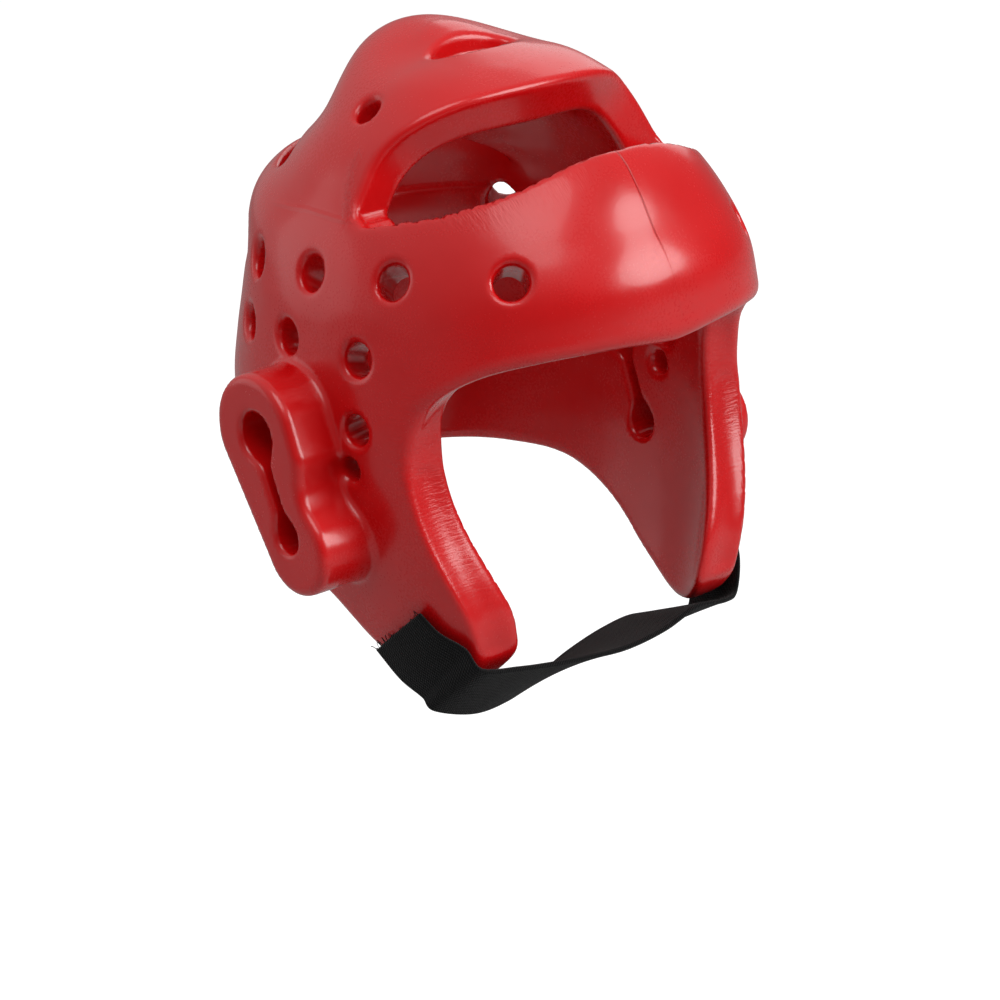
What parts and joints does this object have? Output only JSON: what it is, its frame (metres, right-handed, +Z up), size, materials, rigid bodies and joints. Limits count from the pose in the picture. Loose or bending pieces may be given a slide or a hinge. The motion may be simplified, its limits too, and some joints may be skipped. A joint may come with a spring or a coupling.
{
  "type": "sparring headguard",
  "caption": "Red dipped foam headguard with cheek guards, slotted ear cups, vent holes, an arched crown pad and a black chin strap.",
  "frame": {"origin": "underside of the crown pad on the middle line, where the crown of the head meets it", "axes": "+Z up through the crown, -Y the way the face looks, -X the wearer's right"},
  "size_m": [0.228, 0.2186, 0.2566],
  "materials": {
    "red_vinyl": "glossy dipped vinyl skin over foam, finely wrinkled where it bends",
    "black_webbing": "matte woven elastic webbing",
    "black_pile": "matte looped pile"
  },
  "bodies": {
    "root": {"shell": "red_vinyl", "chin_strap": "black_webbing", "strap_patch_right": "black_pile", "strap_patch_left": "black_pile"}
  },
  "joints": []
}
